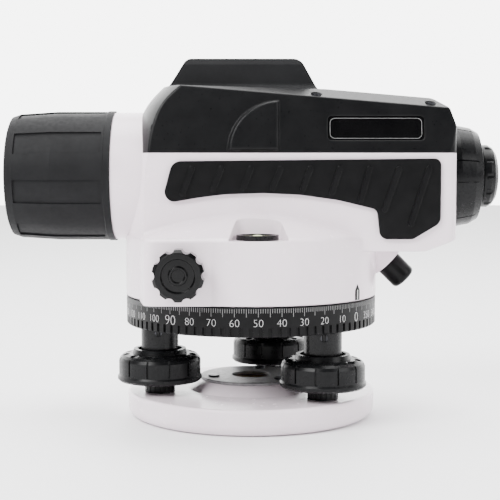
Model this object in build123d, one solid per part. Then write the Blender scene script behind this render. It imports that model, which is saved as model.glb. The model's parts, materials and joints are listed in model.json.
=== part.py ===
from build123d import *
import math
import os

# Automatic level. Millimetres. The origin is on the vertical axis at the underside of the base
# plate, +X points to the eyepiece, +Z is up and -Y is the observer's left-hand side.

# ---------------------------------------------------------------- base, foot screws, tribrach
BASE_R, BASE_H = 51.6, 10.6
BASE_BOSS_R, BASE_BOSS_TOP = 20.6, 14.4
THREAD_MINOR_R, INSERT_R, INSERT_TOP = 6.8, 12.0, 13.0
CENTRE_PLATE_T, CENTRE_PLATE_R, CENTRE_PLATE_HOLE_R = 1.2, 21.2, 8.0
PLATE_SCREW_CIRCLE_R = 16.2

FOOT_CIRCLE_R = 39.3
FOOT_AZIMUTH = {"left": -73.0, "right": 47.0, "rear": 167.0}  # from -Y towards +X
BALL_R, BALL_Z = 4.5, 8.5
BALL_GAP = 0.1
SOCKET_R, SOCKET_FLOOR_R = 5.0, 1.4
RETAINER_R, RETAINER_TOP, RETAINER_TEETH = 6.2, 13.4, 18
KNOB_LOW, KNOB_R, KNOB_FLARE_R, KNOB_TOP = 15.5, 16.8, 17.35, 28.6
KNOB_CUP_R, KNOB_CUP_FLOOR = 9.2, 22.4
KNOB_PANELS = 12
SPINDLE_R, SPINDLE_LOW, SPINDLE_HIGH = 2.9, 13.05, 41.0
NOSE_R, NOSE_HOLE_R = 1.35, 1.65

POST_R, POST_LOW = 7.6, 25.8
BUSH_R, BUSH_BORE_R = 6.2, 4.9
TRIBRACH_R, TRIBRACH_LOW, TRIBRACH_TOP = 48.3, 39.5, 43.5
HUB_LOW, HUB_STEP_R, HUB_STEP_TOP = 35.0, 18.0, 46.9
HUB_MID_R, HUB_MID_TOP = 16.0, 57.3
HUB_R, HUB_TOP = 14.0, 66.0
AXIS_R, AXIS_TOP = 8.0, 80.2
RUNNING_GAP = 0.05

CIRCLE_R, CIRCLE_INNER_R, CIRCLE_LOW, CIRCLE_TOP = 52.0, 49.2, 38.5, 49.7
CIRCLE_WEB_LOW, CIRCLE_WEB_TOP = 44.0, 46.2
CIRCLE_NOTCHES = 90

# ---------------------------------------------------------------- tangent drive
DRIVE_X, DRIVE_Z = -27.0, 62.7
GEAR_TEETH, WORM_PITCH_R = 60, 4.0
GEAR_PITCH_R = -DRIVE_X - WORM_PITCH_R
WORM_LEAD = 2 * math.pi * GEAR_PITCH_R / GEAR_TEETH
GEAR_THICKNESS = 4.0
WORM_TURNS = 6
DRIVE_SHAFT_R = 2.0
TANGENT_KNOB_R, TANGENT_KNOB_IN, TANGENT_KNOB_OUT = 9.8, 50.9, 62.0
TANGENT_LOBES = 10
FLAT_BOSS_Y, FLAT_BOSS_INNER_Y = 50.0, 40.5

# ---------------------------------------------------------------- housing and cover
DRUM_R, DRUM_LOW, SHOULDER_Z, SHOULDER_SLOPE = 52.2, 50.2, 75.6, 0.365
DRUM_WALL_R, DRUM_CEILING = 49.2, 71.5
BODY_HALF_W, PARTING_Z, REAR_X = 28.6, 108.5, 81.6
WALL = 2.6
CHAMBER_FLOOR = 75.5
AXIS_Z = 99.3  # height of the line of sight
NECK_R, NECK_BORE_R, NECK_FRONT = 26.3, 22.5, -56.2
COVER_TOP_Z, COVER_LEAN = 133.8, 0.18
# Radius about the vertical axis that bounds the nose of the housing and of the cover
NOSE_LIMIT = [(52.2, 69.0), (49.6, 108.5), (47.0, 119.5), (42.6, 128.8), (36.6, 135.4), (33.6, 138.2)]
VIAL_X, VIAL_Y, VIAL_R, VIAL_POCKET_Z = 2.5, -41.5, 8.2, 74.9
INDEX_AZIMUTH = 53.5
EYE_HOLE_R = 12.0
COVER_SCREW_SEAT = {26.0: 130.7, 71.5: 127.2}  # height of the seat at each x
COVER_SCREW_Y = 21.3
COVER_EDGE_R, CREASE_R, RIM_R = 0.8, 2.0, 1.8
NAME_PLATE_X, NAME_PLATE_Z, NAME_PLATE_SIZE = 49.3, 118.3, (38.0, 9.8)
QUARTER_X, QUARTER_Z, QUARTER_R, QUARTER_T = 11.2, 109.2, 20.3, 1.3  # raised quarter disc, its inner corner
GRIP_OUTLINE = [(-30.9, 105.2), (74.7, 106.3), (74.7, 81.0), (63.9, 74.5), (51.0, 74.5), (49.7, 86.2),
                (34.4, 89.9), (19.5, 92.0), (4.7, 92.7), (-10.2, 92.2), (-20.1, 91.0), (-35.4, 88.4)]
GRIP_CORNER_R = [4.4, 2.6, 4.0, 3.0, 3.2, 2.6, 30.0, 30.0, 30.0, 30.0, 30.0, 3.8]
GRIP_T, RIB_HEIGHT, RIB_R = 1.5, 0.9, 1.1
RIB_TOPS_X = [-23.3 + 11.65 * i for i in range(9)]
RIB_TOP_Z = 102.3
RIB_BOTTOMS = [(-3.6, 92.6), (-3.3, 94.2), (-3.2, 94.6), (-3.2, 94.6), (-2.9, 94.2), (-3.1, 93.0),
               (-3.3, 90.2), (-5.6, 86.3), (-6.9, 80.6)]

# ---------------------------------------------------------------- optics
HOOD_FRONT, HOOD_R, HOOD_BORE_R = -98.8, 26.9, 22.2
HOOD_PANELS, HOOD_PANEL_DEG, HOOD_PANEL_FIRST = 8, 21.5, -31.0
FOCUS_X = -18.0
RACK_MODULE, PINION_TEETH = 0.5, 12
PINION_PITCH_R = RACK_MODULE * PINION_TEETH / 2
RACK_PITCH_Z = 101.3
PINION_Z = RACK_PITCH_Z + PINION_PITCH_R
RACK_Y = (14.4, 18.6)
RACK_TOOTH_W = 0.60
FOCUS_KNOB_R, FOCUS_KNOB_IN, FOCUS_KNOB_OUT = 14.5, 32.2, 45.0
PENDULUM_X, PENDULUM_PIVOT_Z = 29.0, 117.0
CHEEK_Y = (14.4, 17.4)
SHROUD_END, RING_R, RING_END, RING_LOBES = 94.6, 13.0, 102.0, 12
SHROUD_GROOVE_PAIRS, SHROUD_GROOVES_AT = 5, (0.4, 24.6)

# ---------------------------------------------------------------- compensator check button
BUTTON_X, BUTTON_Z = 57.4, 63.4  # middle of the boss face
BUTTON_CAP_R, BUTTON_REACH = 5.45, 10.4


def outline(points, radius=0.0):
    """A closed flat face through the points, with rounded corners."""
    if radius:
        return make_face(FilletPolyline(*points, radius=radius, close=True))
    return make_face(Polyline(*points, close=True))


def cyl(r, low, high, x=0.0, y=0.0):
    return Pos(x, y, (low + high) / 2) * Cylinder(r, high - low)


def cyl_x(r, low, high, y=0.0, z=AXIS_Z):
    return Pos((low + high) / 2, y, z) * Rot(0, 90, 0) * Cylinder(r, high - low)


def cyl_y(r, low, high, x, z):
    return Pos(x, (low + high) / 2, z) * Rot(90, 0, 0) * Cylinder(r, high - low)


def block(x, y, z):
    """A box from three (low, high) pairs."""
    size = [pair[1] - pair[0] for pair in (x, y, z)]
    middle = [(pair[0] + pair[1]) / 2 for pair in (x, y, z)]
    return Pos(*middle) * Box(*size)


def turned(points, radius=0.0):
    """A solid of revolution about Z from (radius, height) points."""
    return revolve(Plane.XZ * outline(points, radius), Axis.Z)


def turned_x(points, radius=0.0):
    """A solid of revolution about the line of sight from (x, radius) points."""
    face = Plane.XZ * outline(points, radius)
    return Pos(0, 0, AXIS_Z) * revolve(face, Axis.X)


def side_plate(points, y_low, y_high, radius=0.0):
    """A plate with an (x, z) outline between two y values."""
    return Pos(0, y_high, 0) * extrude(Plane.XZ * outline(points, radius), y_high - y_low)


def both_sides(shape):
    return [shape, mirror(shape, Plane.XZ)]


def turns_x(shape, count, first=0.0):
    """Copies of a shape turned about the line of sight."""
    there, back = Pos(0, 0, AXIS_Z), Pos(0, 0, -AXIS_Z)
    return [there * Rot(first + 360 / count * i, 0, 0) * back * shape for i in range(count)]


def around(azimuth):
    """Turns a piece that points along +X to an azimuth counted from -Y towards +X."""
    return Rot(0, 0, azimuth - 90.0)


def foot_place(name):
    return around(FOOT_AZIMUTH[name]) * Pos(FOOT_CIRCLE_R, 0, 0)


def at_each_foot(shape):
    return [foot_place(name) * shape for name in FOOT_AZIMUTH]


def save(name, *solids):
    shape = solids[0] if len(solids) == 1 else Compound(children=list(solids))
    export_step(shape, f"parts/{name}.step")


# ================================================================ base
def base_plate():
    body = turned([(0, 0), (BASE_R, 0), (BASE_R, BASE_H), (0, BASE_H)])
    rim = body.edges().filter_by(GeomType.CIRCLE).sort_by(Axis.Z)
    body = fillet(rim[0], 4.0)
    rim = body.edges().filter_by(GeomType.CIRCLE).sort_by(Axis.Z)
    body = fillet(rim[-1], 1.2)
    body += turned([(0, BASE_H - 1), (BASE_BOSS_R + 7.6, BASE_H - 1), (BASE_BOSS_R, BASE_BOSS_TOP),
                    (0, BASE_BOSS_TOP)])
    cone_tip = BALL_Z - (BALL_R + BALL_GAP) * math.sqrt(2)
    socket = turned([(0, SOCKET_FLOOR_R + cone_tip), (SOCKET_FLOOR_R, SOCKET_FLOOR_R + cone_tip),
                     (SOCKET_R, SOCKET_R + cone_tip), (SOCKET_R, BASE_H + 1), (0, BASE_H + 1)])
    body -= at_each_foot(socket)
    body -= cyl(INSERT_R, -1, BASE_BOSS_TOP + 1)
    body -= plate_screw_shanks(1.25, BASE_H - 4)
    return body


def plate_screw_shanks(radius, low):
    return [around(azimuth) * cyl(radius, low, BASE_BOSS_TOP + 2.0, PLATE_SCREW_CIRCLE_R)
            for azimuth in FOOT_AZIMUTH.values()]


def thread_insert():
    return ring(INSERT_R, THREAD_MINOR_R, 0, INSERT_TOP)


def ball_retainers():
    """Toothed rings screwed on the base plate, which hold the pivot balls down."""
    body = cyl(RETAINER_R, BASE_H, RETAINER_TOP) - cyl(SPINDLE_R + 0.5, 0, 20)
    body -= Pos(0, 0, BALL_Z) * Sphere(BALL_R + BALL_GAP)
    tooth_gap = cyl(0.45, BASE_H + 0.8, 20, RETAINER_R + 0.1)
    body -= [Rot(0, 0, 360 / RETAINER_TEETH * i) * tooth_gap for i in range(RETAINER_TEETH)]
    return at_each_foot(body)


def centre_plate():
    top = BASE_BOSS_TOP + CENTRE_PLATE_T
    body = turned([(CENTRE_PLATE_HOLE_R, BASE_BOSS_TOP), (CENTRE_PLATE_R, BASE_BOSS_TOP),
                   (CENTRE_PLATE_R, top - 0.3), (CENTRE_PLATE_R - 0.3, top), (CENTRE_PLATE_HOLE_R, top)])
    return body - plate_screw_shanks(1.6, BASE_BOSS_TOP - 1)


def centre_plate_screws():
    screw = cyl(1.25, BASE_H - 4, BASE_BOSS_TOP + 1.4, PLATE_SCREW_CIRCLE_R)
    head_low = BASE_BOSS_TOP + CENTRE_PLATE_T
    screw += cyl(2.4, head_low, head_low + 0.7, PLATE_SCREW_CIRCLE_R)
    slot = block((PLATE_SCREW_CIRCLE_R - 3, PLATE_SCREW_CIRCLE_R + 3), (-0.35, 0.35),
                 (head_low + 0.35, head_low + 2))
    return [around(azimuth) * (screw - slot) for azimuth in FOOT_AZIMUTH.values()]


# ================================================================ foot screws
def foot_knob():
    """Panelled grip with a flared rim, a dimpled crown and a cup for the tribrach's post."""
    low, top = KNOB_LOW, KNOB_TOP
    body = turned([(SPINDLE_R, low), (KNOB_FLARE_R - 0.8, low), (KNOB_FLARE_R, low + 0.8),
                   (KNOB_FLARE_R, low + 1.9), (KNOB_R, low + 2.7), (KNOB_R, top - 4.6),
                   (KNOB_R - 0.5, top - 3.4), (KNOB_R - 1.6, top - 2.4), (KNOB_R - 3.2, top - 1.9),
                   (11.2, top - 1.9), (10.7, top), (KNOB_CUP_R, top), (KNOB_CUP_R, KNOB_CUP_FLOOR),
                   (SPINDLE_R, KNOB_CUP_FLOOR)])
    groove = block((KNOB_R - 0.7, KNOB_R + 2), (-0.4, 0.4), (low + 3.0, top - 1.6))
    dimple = Pos(KNOB_R - 2.2, 0, top + 0.9) * Sphere(3.6)
    for i in range(KNOB_PANELS):
        body -= Rot(0, 0, 360 / KNOB_PANELS * i) * (groove + dimple)
    return body


def foot_spindle():
    return cyl(SPINDLE_R, SPINDLE_LOW, SPINDLE_HIGH) + cyl(NOSE_R, 10.7, SPINDLE_LOW + 0.5)


def pivot_ball():
    return Pos(0, 0, BALL_Z) * Sphere(BALL_R) - cyl(NOSE_HOLE_R, 10.4, 14)


# ================================================================ tribrach
def tribrach():
    body = cyl(TRIBRACH_R, TRIBRACH_LOW, TRIBRACH_TOP)
    body += at_each_foot(cyl(POST_R, POST_LOW, TRIBRACH_TOP))
    body += turned([(0, HUB_LOW), (HUB_STEP_R, HUB_LOW), (HUB_STEP_R, HUB_STEP_TOP),
                    (HUB_MID_R, HUB_STEP_TOP), (HUB_MID_R, HUB_MID_TOP), (HUB_R, HUB_MID_TOP),
                    (HUB_R, HUB_TOP), (0, HUB_TOP)])
    body -= at_each_foot(cyl(BUSH_R, POST_LOW - 1, TRIBRACH_TOP + 1))
    body -= cyl(AXIS_R, HUB_LOW - 1, HUB_TOP + 1)
    return body - tension_screw_set(1.5)


def tension_screw_places():
    """The three posts, each turned so that its screw is on the -Y side."""
    return [foot_place(name) * Rot(0, 0, 90 - FOOT_AZIMUTH[name]) for name in FOOT_AZIMUTH]


def tension_screw_set(radius):
    """Set screws that press on the threaded bushes, one in the -Y side of each post."""
    screw = Pos(0, -(BUSH_R + POST_R) / 2, 35.8) * Rot(90, 0, 0) * Cylinder(radius, POST_R - BUSH_R - 0.1)
    return [place * screw for place in tension_screw_places()]


def tension_screws():
    hexagon = extrude(RegularPolygon(0.75, 6), 2, both=True)
    pocket = Pos(0, -(POST_R + 1.5), 35.8) * Rot(90, 0, 0) * hexagon
    return [screw - place * pocket
            for screw, place in zip(tension_screw_set(1.5), tension_screw_places())]


def foot_bushes():
    bush = cyl(BUSH_R, POST_LOW, TRIBRACH_TOP) - cyl(BUSH_BORE_R, POST_LOW - 1, TRIBRACH_TOP + 1)
    return at_each_foot(bush)


def vertical_axis():
    return turned([(0, HUB_LOW), (AXIS_R, HUB_LOW), (AXIS_R, AXIS_TOP), (1.6, AXIS_TOP),
                   (1.6, AXIS_TOP - 7), (0, AXIS_TOP - 7)])


def ring(outer, inner, low, high):
    return cyl(outer, low, high) - cyl(inner, low - 1, high + 1)


def washers():
    """From the bottom: on the circle, under the clutch gear, under the housing, on the bush."""
    return [ring(20.5, HUB_MID_R, HUB_STEP_TOP, HUB_STEP_TOP + 0.8),
            ring(19.0, HUB_R, HUB_MID_TOP, HUB_MID_TOP + 1.0),
            ring(13.4, AXIS_R, HUB_TOP, HUB_TOP + 0.9),
            ring(10.2, 1.6, AXIS_TOP, AXIS_TOP + 1.0)]


def axis_screw():
    head = cyl(3.2, AXIS_TOP + 1.0, AXIS_TOP + 2.8)
    head -= block((-5, 5), (-0.5, 0.5), (AXIS_TOP + 2.0, AXIS_TOP + 5))
    return head + cyl(1.6, AXIS_TOP - 6.5, AXIS_TOP + 1.1)


def horizontal_circle():
    body = ring(CIRCLE_R, CIRCLE_INNER_R, CIRCLE_LOW, CIRCLE_TOP)
    body += ring(CIRCLE_INNER_R + 1, HUB_STEP_R + RUNNING_GAP, CIRCLE_WEB_LOW, CIRCLE_WEB_TOP)
    edge = body.edges().filter_by(GeomType.CIRCLE).group_by(Axis.Z)[0].sort_by(SortBy.RADIUS)[-1]
    body = chamfer(edge, 0.6)
    notch = block((CIRCLE_R - 0.7, CIRCLE_R + 1), (-0.75, 0.75), (CIRCLE_LOW - 1, CIRCLE_LOW + 3.6))
    return body - [Rot(0, 0, 360 / CIRCLE_NOTCHES * (i + 0.5)) * notch for i in range(CIRCLE_NOTCHES)]


# ================================================================ tangent drive
def worm_thread():
    """One thread whose crest passes the gear at the drive's own height."""
    length = WORM_LEAD * WORM_TURNS
    path = Helix(pitch=WORM_LEAD, height=length, radius=WORM_PITCH_R)
    root, crest, half_root, half_crest = -1.1, 0.72, 0.70, 0.18
    section = Plane.XZ * Pos(WORM_PITCH_R, 0) * outline(
        [(root, -half_root), (crest, -half_crest), (crest, half_crest), (root, half_root)])
    return Pos(0, 0, -length / 2) * sweep(section, path=path, is_frenet=True)


def worm_shaft():
    """Cross shaft with the worm cut on its middle."""
    body = Cylinder(WORM_PITCH_R - 0.95, WORM_LEAD * WORM_TURNS + 6)
    body += Cylinder(DRIVE_SHAFT_R, 2 * (TANGENT_KNOB_OUT - 3))
    body += worm_thread()
    return Pos(DRIVE_X, 0, DRIVE_Z) * Rot(-90, 0, 0) * body


def clutch_gear():
    low, high = DRIVE_Z - GEAR_THICKNESS / 2, DRIVE_Z + GEAR_THICKNESS / 2
    root_r, tip_r = GEAR_PITCH_R - 0.95, GEAR_PITCH_R + 0.7
    tooth = extrude(Pos(0, 0, low) * outline([(root_r - 0.4, -0.78), (tip_r, -0.16), (tip_r, 0.16),
                                              (root_r - 0.4, 0.78)]), GEAR_THICKNESS)
    body = cyl(root_r, low, high)
    step = 360 / GEAR_TEETH
    body += [Rot(0, 0, step * (i + 0.5)) * tooth for i in range(GEAR_TEETH)]
    body += cyl(HUB_R + 4.0, HUB_MID_TOP + 1.2, HUB_TOP - 0.1)
    return body - cyl(HUB_R + RUNNING_GAP, low - 5, high + 5)


def tangent_knobs():
    depth = TANGENT_KNOB_OUT - TANGENT_KNOB_IN
    body = turned([(DRIVE_SHAFT_R, 0), (8.2, 0), (8.2, 1.6), (TANGENT_KNOB_R, 2.4),
                   (TANGENT_KNOB_R, depth - 1.2), (TANGENT_KNOB_R - 1.2, depth), (6.4, depth),
                   (6.1, depth - 0.8), (3.6, depth - 0.8), (3.4, depth - 0.2), (2.6, depth - 0.2),
                   (2.4, depth - 0.8), (0, depth - 0.8), (0, depth - 3), (DRIVE_SHAFT_R, depth - 3)])
    scallop = cyl(1.9, 1.7, depth + 1, TANGENT_KNOB_R + 0.8)
    body -= [Rot(0, 0, 360 / TANGENT_LOBES * i) * scallop for i in range(TANGENT_LOBES)]
    near = Pos(DRIVE_X, -TANGENT_KNOB_IN, DRIVE_Z) * Rot(90, 0, 0) * body
    return both_sides(near)


def drive_bushes():
    bush = cyl_y(4.5, -FLAT_BOSS_Y - 0.4, -FLAT_BOSS_INNER_Y, DRIVE_X, DRIVE_Z)
    bush -= cyl_y(DRIVE_SHAFT_R + RUNNING_GAP, -60, -40, DRIVE_X, DRIVE_Z)
    return both_sides(bush)


# ================================================================ housing
def nose_limit(inset, top):
    """Everything inside the rounded nose, up to a height."""
    edge = [Vector(r - inset, z) for r, z in NOSE_LIMIT]
    curve = Spline(*edge)
    lines = Polyline((edge[-1].X, edge[-1].Y), (0, edge[-1].Y), (0, edge[0].Y), (edge[0].X, edge[0].Y))
    front = revolve(Plane.XZ * make_face([curve, lines]), Axis.Z)
    return front + block((0, 130), (-60, 60), (60, top))


def body_plan(inset):
    """Outline from above, with rounded rear corners."""
    half, rear = BODY_HALF_W - inset, REAR_X - inset
    plan = make_face(FilletPolyline((-60, -half), (rear, -half), (rear, half), (-60, half),
                                    radius=[0, 4.2 - inset, 4.2 - inset, 0], close=True))
    return extrude(plan, 150)


def upper_body(inset):
    """The box-like part of the housing that carries the telescope."""
    rear, low = REAR_X - inset, 69.6 + inset
    profile = side_plate([(-51.8 + inset, low), (-45.6 + inset, PARTING_Z), (rear, PARTING_Z),
                          (rear, low + 4.8), (rear - 12.5, low)], -40, 40, [0, 0, 0, 1.5, 6.0])
    return profile & body_plan(inset) & nose_limit(inset, 140)


def button_place(offset=0.0):
    """A frame on the check button's axis, +Z along the axis out of the housing."""
    slant = math.sqrt(0.5)
    return Plane(origin=(BUTTON_X + offset * slant, 0, BUTTON_Z - offset * slant),
                 x_dir=(0, 1, 0), z_dir=(slant, 0, -slant))


def button_cyl(radius, low, high):
    return button_place((low + high) / 2) * Cylinder(radius, high - low)


def vial_pocket():
    """Scoop in the shoulder, widening towards the front."""
    floor = make_face(FilletPolyline((-4.7, -33.0), (10.7, -33.0), (16.2, -60), (-10.2, -60),
                                     radius=[3.0, 3.0, 0, 0], close=True))
    return Pos(0, 0, VIAL_POCKET_Z) * extrude(floor, 20, taper=-8)


def index_mark():
    """Pointed inlay at the foot of the drum, next to the graduated circle."""
    half, low, spring, tip = 1.6, DRUM_LOW + 0.4, DRUM_LOW + 4.2, DRUM_LOW + 6.6
    face = outline([(-half, low), (half, low), (half, spring), (0, tip), (-half, spring)])
    plate = Pos(0, -(DRUM_R - 1.0), 0) * extrude(Plane.XZ * face, 2.0)
    return Rot(0, 0, INDEX_AZIMUTH) * (plate & cyl(DRUM_R + 0.12, 0, 90))


def housing():
    drum = turned([(0, DRUM_LOW), (DRUM_R - 0.5, DRUM_LOW), (DRUM_R, DRUM_LOW + 0.5),
                   (DRUM_R, SHOULDER_Z), (0, SHOULDER_Z + SHOULDER_SLOPE * DRUM_R)])
    rim = drum.edges().filter_by(GeomType.CIRCLE).sort_by(Axis.Z)[-1]
    body = drum.fillet(RIM_R, [rim]) + upper_body(0)
    creases = body.edges().filter_by(GeomType.HYPERBOLA).sort_by(SortBy.LENGTH)[-2:]
    body = body.fillet(CREASE_R, creases)
    body += both_sides(flat_boss())
    body += cyl_x(NECK_R, NECK_FRONT, -40)
    body += button_cyl(7.2, -13, 0) & block((0, 100), (-30, 30), (50, 78))
    # Hollows
    chamber = upper_body(WALL) & block((-60, 120), (-60, 60), (CHAMBER_FLOOR, 150))
    body -= chamber
    drum_hollow = cyl(DRUM_WALL_R, DRUM_LOW - 1, DRUM_CEILING)
    for side in (-1, 1):
        drum_hollow -= block((-39, -15), sorted((side * 70, side * FLAT_BOSS_INNER_Y)), (40, 80))
    drum_hollow -= button_cyl(7.2, -13, 0)
    body -= drum_hollow
    body -= cyl_x(NECK_BORE_R, NECK_FRONT - 1, -30)
    # Boss for the bush of the vertical axis
    body += cyl(HUB_R, HUB_TOP + 1.0, 83.0)
    body -= cyl(10.5, HUB_TOP, 84.0)
    # Vial pocket and the hole of its cup
    body -= vial_pocket()
    body += cyl(VIAL_R + 1.8, 67.5, VIAL_POCKET_Z - 1, VIAL_X, VIAL_Y)
    body -= cyl(VIAL_R, 60, 90, VIAL_X, VIAL_Y)
    # Drive shaft bushes, focus shaft bush, eyepiece tube, button
    body -= both_sides(cyl_y(4.5, -70, -35, DRIVE_X, DRIVE_Z))
    body -= cyl_y(3.4, 20, 40, FOCUS_X, PINION_Z)
    body -= cyl_x(EYE_HOLE_R, REAR_X - 8, REAR_X + 5)
    body -= button_cyl(BUTTON_CAP_R + 0.3, -6.2, 3)
    body -= button_cyl(1.2 + RUNNING_GAP, -20, 3)
    body -= index_mark()
    body -= at_cover_screws(1.25, -27.0, 0)
    return body


def flat_boss():
    """Flat-faced pad that carries the cross shaft, on one side of the drum."""
    plan = make_face(FilletPolyline((-15.0, -FLAT_BOSS_Y), (-40.5, -FLAT_BOSS_Y), (-44.0, -30.0),
                                    (-15.0, -30.0), radius=[0, 5.0, 0, 0], close=True))
    body = Pos(0, 0, DRUM_LOW) * extrude(plan, SHOULDER_Z - DRUM_LOW)
    return fillet(body.faces().sort_by(Axis.Z)[-1].edges(), 1.4)


def at_cover_screws(radius, low, high):
    """Cylinders at the four cover screws, between two heights measured from each seat."""
    return [cyl(radius, seat + low, seat + high, x, side * COVER_SCREW_Y)
            for x, seat in COVER_SCREW_SEAT.items() for side in (-1, 1)]


def cover_bevel(inset):
    """Everything above the bevel plane that falls towards the rear, on both sides."""
    front, rear = Vector(-29.0, -23.9, 135.3), Vector(70.0, -25.3, 127.0)
    inner = Vector(25.0, -15.5, 134.4)
    along = (rear - front).normalized()
    normal = along.cross(inner - front).normalized()
    plane = Plane(origin=front - normal * inset, x_dir=along, z_dir=normal)
    return both_sides(plane * Pos(0, 0, 20) * Box(400, 60, 40))


def cover_body(inset):
    """The crowned solid of the cover, drawn in by an inset."""
    rear, top = REAR_X - inset, COVER_TOP_Z - inset
    half_low, half_top = BODY_HALF_W - inset, BODY_HALF_W - inset - COVER_LEAN * 30.0
    section = outline([(half_low, PARTING_Z), (half_top, PARTING_Z + 30.0),
                       (-half_top, PARTING_Z + 30.0), (-half_low, PARTING_Z)])
    body = Pos(-60, 0, 0) * extrude(Plane.YZ * section, 160)
    points = [(-46.6 + inset, PARTING_Z), (-46.6 + inset, top + 2), (30.0, top + 0.6),
              (73.0, 130.7 - inset), (rear - 3.0, 126.4 - inset), (rear, 118.0 - inset), (rear, PARTING_Z)]
    body &= side_plate(points, -40, 40, [0, 0, 20.0, 5.0, 4.0, 6.0, 0])
    return (body & body_plan(inset) & nose_limit(inset, 140)) - cover_bevel(inset)


def cover_side_plane(x, z):
    """A frame on the leaning left-hand side of the cover, its Z axis pointing out."""
    lean = math.atan(COVER_LEAN)
    y = BODY_HALF_W - (z - PARTING_Z) * COVER_LEAN
    return Plane(origin=(x, -y, z), x_dir=(1, 0, 0), z_dir=(0, -math.cos(lean), math.sin(lean)))


def name_plate_pair(low, high):
    plate = Pos(0, 0, low) * extrude(RectangleRounded(*NAME_PLATE_SIZE, 1.6), high - low)
    return both_sides(cover_side_plane(NAME_PLATE_X, NAME_PLATE_Z) * plate)


def cover_outside():
    """The crowned solid with softened edges along its sides and nose."""
    body = cover_body(0)
    long_edges = body.edges().filter_by(lambda edge: edge.length > 100 and (edge @ 0.5).Z > 120)
    nose_edges = body.edges().filter_by(lambda edge: 25 < edge.length < 33 and (edge @ 0.5).X < -35)
    return body.fillet(COVER_EDGE_R, long_edges + nose_edges)


def top_cover():
    body = cover_outside() - cover_body(2.2)
    body += both_sides(cover_side_plane(QUARTER_X, QUARTER_Z) * quarter_disc())
    body -= name_plate_pair(-0.7, 2.0)
    inside = cover_body(0.5)
    body += [pillar & inside for pillar in at_cover_screws(3.2, -24.0, 1.0)]
    body -= cyl_x(NECK_R, -70, -35)
    body -= cyl_x(EYE_HOLE_R, REAR_X - 8, REAR_X + 5)
    body -= at_cover_screws(2.2, 0, 10)
    body -= at_cover_screws(1.4, -27.0, 1)
    return body


def quarter_disc():
    """Raised quarter disc on the side of the cover, its corner at the bottom rear."""
    disc = Pos(0, 0, 0.2) * Cylinder(QUARTER_R, QUARTER_T + 1.2)
    disc &= block((-QUARTER_R - 1, 0), (0, QUARTER_R + 1), (-0.4, QUARTER_T))
    return chamfer(disc.faces().sort_by(Axis.Z)[-1].edges(), 0.9)


def cover_screws():
    screws = []
    for x, seat in COVER_SCREW_SEAT.items():
        for side in (-1, 1):
            screw = cyl(1.25, -25.0, 0.2) + cyl(2.1, 0, 1.5)
            screw -= block((-1.2, 1.2), (-0.25, 0.25), (0.8, 2))
            screw -= block((-0.25, 0.25), (-1.2, 1.2), (0.8, 2))
            screws.append(Pos(x, side * COVER_SCREW_Y, seat) * screw)
    return screws


def grip_pad(side):
    inner, outer = BODY_HALF_W, BODY_HALF_W + GRIP_T
    body = side_plate(GRIP_OUTLINE, -outer, -inner, GRIP_CORNER_R)
    for x_top, (shift, z_low) in zip(RIB_TOPS_X, RIB_BOTTOMS):
        top, low = Vector(x_top, RIB_TOP_Z), Vector(x_top + shift, z_low)
        middle, along = (top + low) / 2, top - low
        slot = SlotCenterToCenter(along.length, 2 * RIB_R, rotation=math.degrees(
            math.atan2(along.Y, along.X)))
        rib = extrude(Plane.XZ * Pos(middle.X, middle.Y) * slot, RIB_HEIGHT + 0.3)
        body += Pos(0, -outer + 0.3, 0) * rib
    if side > 0:
        body = mirror(body, Plane.XZ)
        body -= cyl_y(FOCUS_KNOB_R + 2.0, 20, 50, FOCUS_X, PINION_Z)
    return body


def sight():
    points = [(-37.5, 130.0), (-31.9, 138.2), (-26.3, 147.3), (20.2, 147.3), (26.6, 135.6),
              (30.5, 130.0)]
    profile = side_plate(points, -14.0, 14.0, [0, 6.0, 3.6, 5.0, 6.0, 0])
    taper = outline([(-12.0, 130), (12.0, 130), (11.4, 134.6), (9.4, 136.4), (8.3, 144.8), (6.6, 148),
                     (-6.6, 148), (-8.3, 144.8), (-9.4, 136.4), (-11.4, 134.6)],
                    [0, 0, 0.3, 2.0, 1.5, 0, 0, 1.5, 2.0, 0.3])
    body = profile & Pos(-60, 0, 0) * extrude(Plane.YZ * taper, 160)
    body -= cover_outside()
    body -= block((-60, 60), (-4.0, 4.0), (138.0, 144.0))
    body += block((-6, -4), (-4.0, 4.0), (138.0, 144.0)) - cyl_x(0.6, -10, 0, 0, 141.0)
    return body


def sight_windows():
    """Clear windows near both ends of the sighting channel."""
    return [block((x, x + 1.2), (-4.0, 4.0), (138.0, 144.0)) for x in (-28.2, 19.6)]


def vial_cup():
    x, y = VIAL_X, VIAL_Y
    return cyl(VIAL_R, 68.0, 76.9, x, y) - cyl(6.9, 69.4, 80, x, y)


def vial_liquid():
    return cyl(6.9, 69.4, 74.6, VIAL_X, VIAL_Y)


def vial_glass():
    x, y = VIAL_X, VIAL_Y
    body = cyl(6.9, 74.6, 76.5, x, y)
    return body - cyl(2.0, 74.0, 75.0, x, y)


def azimuth_bush():
    return ring(10.5, AXIS_R + RUNNING_GAP, HUB_TOP + 1.0, AXIS_TOP - 0.2)


# ================================================================ objective end
def lens_hood():
    r = HOOD_R
    body = turned_x([(HOOD_FRONT, HOOD_BORE_R), (HOOD_FRONT, r - 3.4), (HOOD_FRONT + 0.5, r - 2.3),
                     (HOOD_FRONT + 3.5, r - 1.3), (-80.0, r - 0.3), (NECK_FRONT - 2.9, r - 0.3),
                     (NECK_FRONT - 2.5, r), (NECK_FRONT, r), (NECK_FRONT, NECK_BORE_R),
                     (-62.0, NECK_BORE_R), (-62.0, HOOD_BORE_R)])
    shell = turned_x([(-95.0, 60), (-95.0, r - 2.0), (-80.0, r - 0.95), (-60.0, r - 0.85), (-60.0, 60)])
    wedge = side_wedge(math.radians(HOOD_PANEL_DEG / 2), 60.0)
    return body - turns_x(shell & wedge, HOOD_PANELS, HOOD_PANEL_FIRST)


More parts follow.
